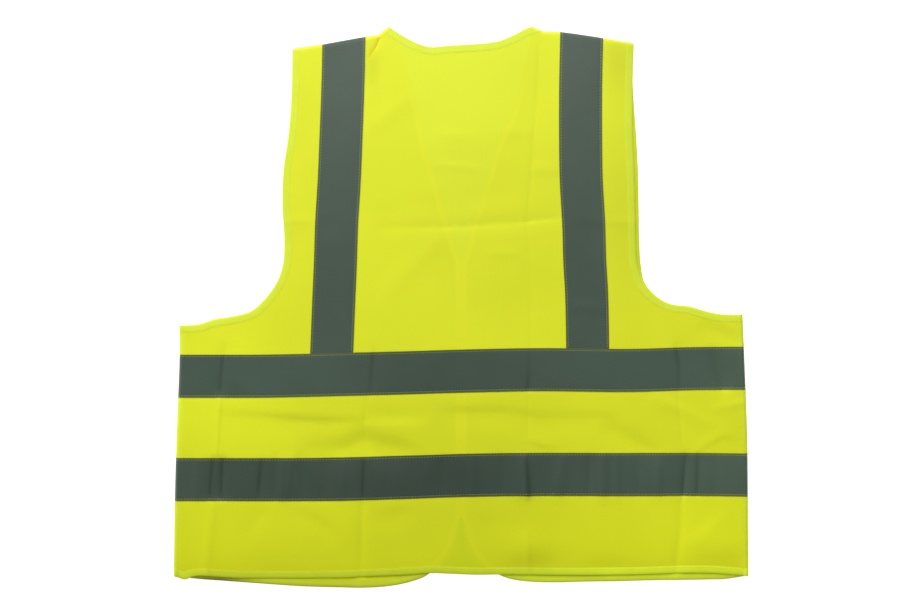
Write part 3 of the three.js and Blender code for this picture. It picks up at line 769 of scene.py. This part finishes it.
class Look:
    """A material whose colour is worked out step by step."""

    def __init__(self, name, roughness, sheen=0.0, specular=0.3):
        self.material = bpy.data.materials.new(name)
        self.material.use_nodes = True
        self.tree = self.material.node_tree
        self.shader = self.tree.nodes["Principled BSDF"]
        self.shader.inputs["Roughness"].default_value = roughness
        self.shader.inputs["Sheen Weight"].default_value = sheen
        self.shader.inputs["Specular IOR Level"].default_value = specular
        self.place = self.tree.nodes.new("ShaderNodeTexCoord").outputs["Object"]

    def node(self, kind, inputs, **settings):
        """A node's outputs; inputs are values or links for its sockets."""
        made = self.tree.nodes.new(kind)
        for key, value in settings.items():
            setattr(made, key, value)
        for key, value in inputs.items():
            self.feed(made.inputs[key], value)
        return made.outputs

    def feed(self, socket, value):
        """Links a socket, or sets it to a number or a colour."""
        if isinstance(value, bpy.types.NodeSocket):
            self.tree.links.new(value, socket)
        elif isinstance(value, tuple):
            socket.default_value = (*value, 1)
        else:
            socket.default_value = value

    def noise(self, scale, detail=2.0):
        inputs = {"Vector": self.place, "Scale": scale, "Detail": detail}
        return self.node("ShaderNodeTexNoise", inputs)["Fac"]

    def wave(self, direction, period):
        """Soft stripes of a period in metres."""
        inputs = {"Vector": self.place, "Scale": WAVE_PERIOD / period, "Distortion": 0.6}
        return self.node("ShaderNodeTexWave", inputs, wave_type="BANDS", bands_direction=direction)["Fac"]

    def total(self, first, second):
        return self.node("ShaderNodeMath", {0: first, 1: second}, operation="ADD")["Value"]

    def value(self, name):
        """What the points carry under a name."""
        return self.node("ShaderNodeAttribute", {}, attribute_name=name)["Fac"]

    def ramp(self, value, low, high, to=(0.0, 1.0)):
        inputs = {"Value": value, "From Min": low, "From Max": high, "To Min": to[0], "To Max": to[1]}
        return self.node("ShaderNodeMapRange", inputs)["Result"]

    def mix(self, factor, first, second, blend="MIX"):
        inputs = {0: factor, 6: first, 7: second}
        return self.node("ShaderNodeMix", inputs, data_type="RGBA", blend_type=blend)[2]

    def mottled(self, first, second, scale, detail=2.0, low=0.35):
        """Two colours in soft patches."""
        return self.mix(self.ramp(self.noise(scale, detail), low, 1 - low), first, second)

    def lit(self, colour):
        """A colour made lighter or darker by the share of painted light and shade that the points carry.
        """
        inputs = {"Vector": colour, "Scale": self.ramp(self.value("lighter"), -1, 1, (0, 2))}
        return self.node("ShaderNodeVectorMath", inputs, operation="SCALE")["Vector"]

    def warmer_below(self, colour, foot=0.62, neck=1.9):
        """A colour with less blue in it towards the hem and more towards the neck: painted light,
        standing for the paler sheen where the light is stronger near the neck; foot and neck are how much
        of its blue there is at the two ends."""
        height = self.node("ShaderNodeSeparateXYZ", {"Vector": self.place})["Y"]
        tint = self.mix(self.ramp(height, -0.33, 0.33), (1, 1, foot), (1, 1, neck))
        return self.mix(1.0, colour, tint, "MULTIPLY")

    def knit(self, wale, course):
        """The height of a fine warp knit: its wales along the cloth and its courses across."""
        return self.total(self.wave("X", wale), self.wave("Y", course))

    def colour(self, value):
        self.feed(self.shader.inputs["Base Color"], value)

    def bump(self, height, distance, strength):
        inputs = {"Height": height, "Distance": distance, "Strength": strength}
        self.feed(self.shader.inputs["Normal"], self.node("ShaderNodeBump", inputs)["Normal"])


# The cloth's colour over an opening or a binding, along the side seams and in the tuck.
CLOTH_CHANGES = {
    "bare_neck": (0.763, 0.846, 0.022),
    "bare_foot": (0.70, 0.80, 0.017),
    "over_binding": (0.80, 0.846, 0.019),
    "seam_strip": (0.76, 0.865, 0.030),
    "warm": (0.84, 0.76, 0.012),
}


def cloth_look():
    look = Look("cloth_look", 0.8, sheen=0.03, specular=0.2)
    colour = look.mottled((0.755, 0.815, 0.018), (0.785, 0.845, 0.018), 9, 3)
    for name, changed in CLOTH_CHANGES.items():
        colour = look.mix(look.value(name), colour, changed)
    # Painted light and shade from the points' values, and painted sheen towards the neck.
    look.colour(look.warmer_below(look.lit(colour)))
    look.bump(look.knit(0.0011, 0.0008), 0.00008, 0.35)
    return look.material


def binding_look():
    look = Look("binding_look", 0.7, sheen=0.03, specular=0.2)
    colour = look.mottled((0.72, 0.84, 0.030), (0.75, 0.87, 0.034), 60)
    # Painted light and shade from the points' values, and painted sheen towards the neck.
    look.colour(look.warmer_below(look.lit(colour), 0.85, 1.5))
    look.bump(look.total(look.noise(1600, 1), look.wave("DIAGONAL", 0.0009)), 0.00008, 0.35)
    return look.material


def tape_look():
    look = Look("tape_look", 0.48, specular=0.42)
    colour = look.mottled((0.046, 0.075, 0.051), (0.050, 0.081, 0.056), 25, 3, 0.3)
    # Painted light and shade from the points' values.
    look.colour(look.lit(look.mix(look.value("margin"), colour, (0.085, 0.105, 0.018))))
    look.bump(look.noise(2500, 1), 0.00005, 0.3)
    return look.material


def fastener_look(name, colour, pitch):
    """A touch fastener's face; pitch is that of its rows of hooks, or none for a pile of loops."""
    look = Look(name, 0.75, sheen=0.1, specular=0.3)
    look.colour(look.mottled(colour, tuple(0.8 * c for c in colour), 900))
    rows = look.knit(pitch, pitch) if pitch else look.noise(1500, 3)
    look.bump(rows, 0.0004, 0.9)
    return look.material


def thread_look(name, colour):
    look = Look(name, 0.6)
    look.colour(colour)
    return look.material


CLOTH_LOOK = cloth_look()
BINDING_LOOK = binding_look()
TAPE_LOOK = tape_look()
THREAD_LOOK = thread_look("thread_look", (0.32, 0.39, 0.31))
EDGE_THREAD_LOOK = thread_look("edge_thread_look", (0.84, 0.90, 0.10))
HOOK_LOOK = fastener_look("hook_look", (0.70, 0.78, 0.03), 0.0014)
LOOP_LOOK = fastener_look("loop_look", (0.72, 0.80, 0.04), None)

# ---- the panels ----


def inset(outline_edges):
    """A panel's outline, drawn in inside its bindings and run out a little at its seams."""
    outline = joined(*outline_edges)[:-1]
    bound = ease(gap_to(outline, *seams), 1.5, 7)  # 0 along the seams and 1 away from them
    reach = (INSET + OVERHANG) * bound - OVERHANG
    return outline + right_normals(outline, closed=True) * reach[:, None]


# The mesh along sharp and soft creases: spacing of its points, and its lines by share of the reach.
CREASE_MESH = {True: (2.2, (0, 0.35, 0.8, 1.4)), False: (4, (0, 0.7, 1.4))}


def crease_lines(creases):
    """Lines of points that carry the creases."""
    lines = []
    for left, right, sharp, rows in creases:
        spacing, shares = CREASE_MESH[sharp]
        path = smooth([row[:2] for row in rows], spacing)
        for distance in sorted({reach * share for reach in (-left, right) for share in shares}):
            lines.append(offset(path, distance))
    return lines


def seam_lines():
    """Lines of points along which the cloth turns at the seams."""
    return [offset(longer(seam), distance) for seam in seams for distance in (0.7, 1.5, 2.4, TURN)]


def under_tapes(points):
    """How far the back's cloth is pressed down below the tapes."""
    gaps = [gap_to(points, *map(longer, paths.values())) for paths in (bands, braces)]
    band, brace = (ease(HALF_TAPE - gap, *TAPE_EDGE) for gap in gaps)
    above = nearest(points, longer(bands["upper"]))[0] < 0
    return PRESSED * np.maximum(band, brace * above)


SHOW_SOFT = 0.8  # how far to both sides the edge of what shows through the back is soft
# The cloth is doubled along this line, beside the neck.
TUCK = np.array([(-92, 334), (-97, 325), (-104, 310), (-110, 301)], float)


def beneath(points):
    """What the back's points carry: where it lies over the neck opening, over the gap at the foot of
    the fronts and over a front's binding, where it turns at a side seam, where it is doubled in the
    tuck, and how much it is painted lighter or darker to stand for light and shade."""
    down = -points[:, 1]
    bare = np.ones(len(points))
    bound = np.zeros(len(points))
    for side in edges:
        away, _ = nearest(points, edges[side]["front_edge"])
        mine = points[:, 0] < CLOSURE_X if side == "left" else points[:, 0] >= CLOSURE_X
        # Towards the foot the edge of the gap is softer, and the binding is fainter.
        bare -= ease(away, -SHOW_SOFT - 7 * ease(down, 250, 300), SHOW_SOFT) * mine
        shown = ease(down, -300, -200) * (1 - 0.4 * ease(down, 230, 270))
        bound += ease(away, -SHOW_SOFT, SHOW_SOFT) * ease(-away, -7.5, -5.5) * mine * shown
    high = down < 100
    return {
        "bare_neck": bare * high,
        "bare_foot": bare * ~high,
        "over_binding": bound,
        "seam_strip": ease(-gap_to(points, L["side"], R["side"]), -8, -5.5),
        "warm": 0.8 * np.exp(-((gap_to(points, TUCK) / 3) ** 2)),
        "lighter": painted_light_share(points, CLOTH_LIGHT_AND_SHADE),
    }


def front_outline(side):
    """The edges of a front, clockwise."""
    around = [edges[side][edge] for edge in ("front_edge", "side", "front_armhole", "shoulder")]
    return around[:: -SIGN[side]]


outer_edges = [
    back_neck, R["shoulder"], R["back_armhole"], R["side"],
    back_hem, L["side"], L["back_armhole"], L["shoulder"],
]
show_at = (-SHOW_SOFT, SHOW_SOFT, 5.4, 7.6)
show_lines = [offset(e["front_edge"], distance) for e in (L, R) for distance in show_at]
dense = [*crease_lines(back_creases), *seam_lines(), *show_lines]
plan, faces = panel_mesh(inset(outer_edges), dense, spacing=4.2)
surface = np.column_stack([plan, back_height(plan) - under_tapes(plan)])
cloth = shell("back_panel_cloth", surface, faces, CLOTH, CLOTH_LOOK, beneath(plan))
back_panel = piece(cloth, "back_panel")

for side in edges:
    outline = inset(front_outline(side))
    plan, faces = panel_mesh(outline, [*crease_lines(FRONT_CREASES), *seam_lines()], spacing=6)
    surface = np.column_stack([plan, front_height(plan)])
    cloth = shell(f"front_panel_{side}_cloth", surface, faces, CLOTH, CLOTH_LOOK)
    piece(cloth, f"front_panel_{side}")

# ---- the bindings ----

# The tape's section: distance in from the edge, and height off the middle of the cloth.
SECTION = [
    (9, -0.34), (7.2, -0.38), (4.5, -0.56), (1.5, -0.52), (0.35, -0.38), (0, -0.05),
    (0.35, 0.25), (1.3, 0.4), (2.6, 0.47), (4.5, 0.48), (6.4, 0.44), (7.2, 0.38), (8.2, 0.4), (9, 0.325),
]
INWARD = [a for a, _ in SECTION]
OUTWARD = [b for _, b in SECTION]
RIBBONS["binding"] = (OUTWARD, BINDING, BINDING_LOOK)
STITCH_COLUMN = INWARD.index(BINDING_STITCH, 5)  # on the outer side
STITCH_LIFT = 0.62  # off the middle of the cloth

stitch_runs = {"tapes_back": [], "tapes_front": [], "bindings_back": [], "bindings_front": []}


def stitch_along(group, points, normals, column, lift):
    """Notes a line of stitches down one column of a ribbon."""
    stitch_runs[group].append((points[:, column] + normals[:, column] * lift, normals[:, column]))


def bind(name, layer, edge, start, end):
    """A binding over one edge, with painted light and shade from the tables and painted shade at its
    turn.
    """
    points, normals = laid(layer, edge, INWARD, start, end)
    # Painted light and shade from the tables, and painted shade at the binding's turn.
    light_and_shade = CLOTH_LIGHT_AND_SHADE + HEM_PAINTED_LIGHT if layer == "back" else FRONT_LIGHT_AND_SHADE
    darker, reach = EDGE_SHADE[name.split("_")[0]]
    turned = -darker * np.exp(-np.array(INWARD) / reach)
    values = {"lighter": painted_light_share(in_plan(points), light_and_shade) + np.tile(turned, len(points))}
    stitch_along(f"bindings_{layer}", points, normals, STITCH_COLUMN, STITCH_LIFT)
    return ribbon_object(name, "binding", points, normals, values)


bindings = {
    "neck": bind("neck_binding_back", "back", back_neck, L["shoulder"], R["shoulder"]),
    "hem": bind("hem_binding_back", "back", back_hem, R["side"], L["side"]),
    "left": bind("front_binding_left", "front", L["front_edge"], L["shoulder"], L["side"]),
    "right": bind("front_binding_right", "front", R["front_edge"], R["side"], R["shoulder"]),
}

armhole_bindings = {}
for side, e in edges.items():
    first, last = ("side", "shoulder")[:: -SIGN[side]]
    over = laid("back", e["back_armhole"], INWARD, e[first], e[last])
    below = laid("front", e["front_armhole"], INWARD, e[first], e[last], FINE)
    stitch_along("bindings_back", *over, STITCH_COLUMN, STITCH_LIFT)
    stitch_along("bindings_front", *below, STITCH_COLUMN, STITCH_LIFT)
    outward = {"side": (SIGN[side], 0), "shoulder": (0, 1)}
    turned = [seam_row(over[0][row], outward[seam]) for row, seam in ((-1, last), (0, first))]
    points, normals = stacked(over, turned[0], back_again(below), turned[1])
    # Painted light and shade of the cloth.
    values = {"lighter": painted_light_share(in_plan(points), CLOTH_LIGHT_AND_SHADE)}
    name = f"armhole_binding_{side}"
    armhole_bindings[side] = ribbon_object(name, "binding", points, normals, values, closed=True)

# ---- the reflective tapes ----

# Where a tape's lines of points lie, from its centre line.
HALF_ACROSS = [3, 9, 15, 20, 22.4, TAPE_STITCH, 24.1, 25, HALF_TAPE]
ACROSS = [*(-a for a in reversed(HALF_ACROSS)), *HALF_ACROSS]
TAPE_LIFT = CLOTH / 2 + TAPE / 2 + CLEAR
SEWN = 0.5  # how far to each side a row of stitches draws a tape down
PUFF = 0.1  # how far a tape stands up elsewhere
TAPE_LIFTS = [TAPE_LIFT + PUFF * (abs(abs(a) - TAPE_STITCH) > SEWN) for a in ACROSS]
RIBBONS["tape"] = (TAPE_LIFTS, TAPE, TAPE_LOOK)
FRONT_CLEAR = 9.4  # how far from a front's edge its tapes end
STITCH_COLUMNS = [i for i, a in enumerate(ACROSS) if abs(a) == TAPE_STITCH]


def tape_object(name, points, normals, runs):
    """A reflective tape, with an olive margin outside its stitches; runs gives the rows that are
    stitched where the back shows and where the fronts do."""
    margin = ease(np.abs(np.array(ACROSS, float)), TAPE_STITCH, TAPE_STITCH + SEWN)
    # Painted light and shade of the tapes, and on the back painted shade along the hard folds.
    lighter = painted_light_share(in_plan(points), TAPE_LIGHT_AND_SHADE)
    if name.startswith("back"):
        lighter -= FOLD_SHADE * folds(in_plan(points), back_creases)
    values = {"margin": np.tile(margin, len(points)), "lighter": lighter}
    for layer, run in runs.items():
        for column in STITCH_COLUMNS:
            stitch_along(f"tapes_{layer}", points[run], normals[run], column, TAPE_LIFT + TAPE / 2)
    return ribbon_object(name, "tape", points, normals, values)


tapes = {"back": [], "left": [], "right": []}
for band, path in bands.items():
    grids = laid("back", path, ACROSS, L["side"], R["side"])
    tapes["back"].append(tape_object(f"back_band_{band}", *grids, {"back": slice(None)}))
    for side, e in edges.items():
        ends = [e["side"], offset(e["front_edge"], FRONT_CLEAR)][:: -SIGN[side]]
        grids = laid("front", path, ACROSS, *ends)
        tapes[side].append(tape_object(f"front_band_{band}_{side}", *grids, {"front": slice(None)}))

band_top = offset(longer(bands["upper"]), -HALF_TAPE)
for side, path in braces.items():
    ends = (band_top, edges[side]["shoulder"])
    over, below = (laid(layer, path[::-1], ACROSS, *ends) for layer in LAYERS)
    grids = stacked(over, seam_row(over[0][-1], (0, 1)), back_again(below))
    split = len(over[0])
    runs = {"back": slice(0, split), "front": slice(split + 1, None)}
    tapes["back"].append(tape_object(f"brace_{side}", *grids, runs))

# ---- the closure ----

# Of the two strips: radius of the corners, width over which the edge is lower, how far inside it the
# stitches lie, and what share of the thickness the body has and the thread stands up by.
FASTENER = {
    "half_width": 12.5, "half_length": 40, "corner": 3, "soft": 1.6, "stitch": 2.4,
    "body": 0.7, "thread": 0.34,
}
stitch_runs["fasteners"] = []


def rounded(x, inward):
    """A clockwise rectangle with round corners about (x, 0), drawn in by inward."""
    radius = max(FASTENER["corner"] - inward, 1)
    across = FASTENER["half_width"] - inward - radius
    length = FASTENER["half_length"] - inward - radius
    points = []
    for corner, (right, up) in enumerate(((1, 1), (1, -1), (-1, -1), (-1, 1))):
        for turn in range(0, 91, 15):
            angle = math.radians(90 - 90 * corner - turn)
            centre = (x + right * across, up * length)
            points.append((centre[0] + radius * math.cos(angle), centre[1] + radius * math.sin(angle)))
    return np.array(points)


def fastener(name, x, thickness, outer, look):
    """One half of the touch fastener, sewn to a front on its upper (1) or lower (-1) face."""
    rim, soft = rounded(x, 0), FASTENER["soft"]
    plan, faces = panel_mesh(rim, [rounded(x, 0.6), rounded(x, soft)], spacing=2.5)
    stand = CLOTH / 2 + CLEAR + thickness / 2
    sunk = 0.25 * thickness * (ease(gap_to(plan, ringed(rim)), 0, soft) - 1)
    z = front_height(plan) + outer * (stand + sunk)
    made = shell(f"{name}_piece", np.column_stack([plan, z]), faces, thickness * FASTENER["body"], look)
    line = ringed(rounded(x, FASTENER["stitch"]))
    top = np.column_stack([line, front_height(line) + outer * (stand + thickness * FASTENER["thread"])])
    stitch_runs["fasteners"].append((top, np.tile([0.0, 0.0, outer], (len(line), 1))))
    return piece(made, name)


hook = fastener("hook_strip", -22.7, 1, 1, HOOK_LOOK)
loop = fastener("loop_strip", 23.3, 0.55, -1, LOOP_LOOK)

# ---- the stitches ----

# A stitch's rings: place in half lengths, share of its radius, and how far it stands off.
STITCH_RINGS = [(-1, 0.35, -0.22), (-0.6, 1, 0), (0.6, 1, 0), (1, 0.35, -0.22)]
STITCH_SIDES = 5
STITCH_FLAT = 0.8  # height of a stitch by its width
STITCH_SPREAD = (0.93, 1.05)  # a stitch's least and greatest share of its length
STITCH = {"length": 2.9, "pitch": 3.6, "radius": 0.24}
FASTENER_STITCH = {"length": 2.2, "pitch": 2.9, "radius": 0.18}


def stitches(name, runs, material, length, pitch, radius):
    """Rows of short raised stitches, as one mesh."""
    points, faces = [], []
    for path, normals in runs:
        run = lengths(path)
        for middle in np.arange(pitch, run[-1] - pitch / 2, pitch):
            ends = along(path, np.array([middle - 0.5, middle + 0.5]))
            centre = (ends[0] + ends[1]) / 2
            forward = (ends[1] - ends[0]) / np.linalg.norm(ends[1] - ends[0])
            up = np.array([np.interp(middle, run, column) for column in normals.T])
            across = np.cross(forward, up)
            across /= np.linalg.norm(across)
            up = np.cross(across, forward)
            first = len(points)
            half = length / 2 * draw.uniform(*STITCH_SPREAD)
            for step, size, rise in STITCH_RINGS:
                for k in range(STITCH_SIDES):
                    turn = 2 * math.pi * (k + 0.5) / STITCH_SIDES
                    points.append(
                        centre
                        + forward * step * half
                        + across * math.cos(turn) * radius * size
                        + up * (math.sin(turn) * radius * size * STITCH_FLAT + rise)
                    )
            for i in range(len(STITCH_RINGS) - 1):
                a, b = first + i * STITCH_SIDES, first + (i + 1) * STITCH_SIDES
                for k in range(STITCH_SIDES):
                    m = (k + 1) % STITCH_SIDES
                    faces.append((a + k, b + k, b + m, a + m))
    return add_object(name, np.array(points), faces, material)


made_stitches = {}
for group, runs in stitch_runs.items():
    look = THREAD_LOOK if group.startswith("tapes") else EDGE_THREAD_LOOK
    size = FASTENER_STITCH if group == "fasteners" else STITCH
    made = stitches(f"stitches_{group}", runs, look, **size)
    made_stitches[group] = made

# ---- what lies on the back and on the right front ----


on_back = [bindings["neck"], bindings["hem"], *armhole_bindings.values(), *tapes["back"]]
on_back += [made_stitches["tapes_back"], made_stitches["bindings_back"]]
on_right = [bindings["right"], *tapes["right"], loop]
on_right += [made_stitches[group] for group in ("tapes_front", "bindings_front", "fasteners")]

# ---- the floor, light and camera ----

# In this part lengths are in metres.
FLOOR_HALF, FLOOR_Z = 6, -0.0004
floor_mesh = bpy.data.meshes.new("floor")
corners = [(x * FLOOR_HALF, y * FLOOR_HALF, FLOOR_Z) for x, y in ((-1, -1), (1, -1), (1, 1), (-1, 1))]
floor_mesh.from_pydata(corners, [], [(0, 1, 2, 3)])
floor = bpy.data.objects.new("floor", floor_mesh)
bpy.context.scene.collection.objects.link(floor)
floor_look = Look("floor_look", 0.9)
floor_look.colour((0.85, 0.85, 0.85))
floor_look.shader.inputs["Emission Color"].default_value = (1, 1, 1, 1)
floor_look.shader.inputs["Emission Strength"].default_value = 0.65
floor_mesh.materials.append(floor_look.material)


def add_light(name, kind, energy, place):
    """A light that faces the middle of the vest."""
    lamp = bpy.data.lights.new(name, kind)
    lamp.energy = energy
    if kind == "AREA":
        lamp.shape = "DISK"
        lamp.size = 0.9
    else:
        lamp.angle = math.radians(22)
    light = bpy.data.objects.new(name, lamp)
    light.location = place
    light.rotation_euler = light.location.to_track_quat("Z", "Y").to_euler()
    bpy.context.scene.collection.objects.link(light)


add_light("key_light", "AREA", 12.5, (-0.05, 0.9, 1.2))
# Two low lights that bring out the creases: one from the wearer's left and one from the neck.
add_light("side_light", "SUN", 0.75, (-0.9, 0, 0.4))
add_light("neck_light", "SUN", 0.83, (0, 0.9, 0.42))

world = bpy.data.worlds.new("surroundings")
world.use_nodes = True
world.node_tree.nodes["Background"].inputs["Color"].default_value = (1, 1, 1, 1)
world.node_tree.nodes["Background"].inputs["Strength"].default_value = 0.29
bpy.context.scene.world = world

camera = bpy.data.cameras.new("camera")
camera.lens = 50
camera.sensor_width = 36
camera_object = bpy.data.objects.new("camera", camera)
camera_object.location = (-0.0012, 0.0006, 1.539)
bpy.context.scene.collection.objects.link(camera_object)
bpy.context.scene.camera = camera_object
bpy.context.scene.view_settings.view_transform = "Standard"
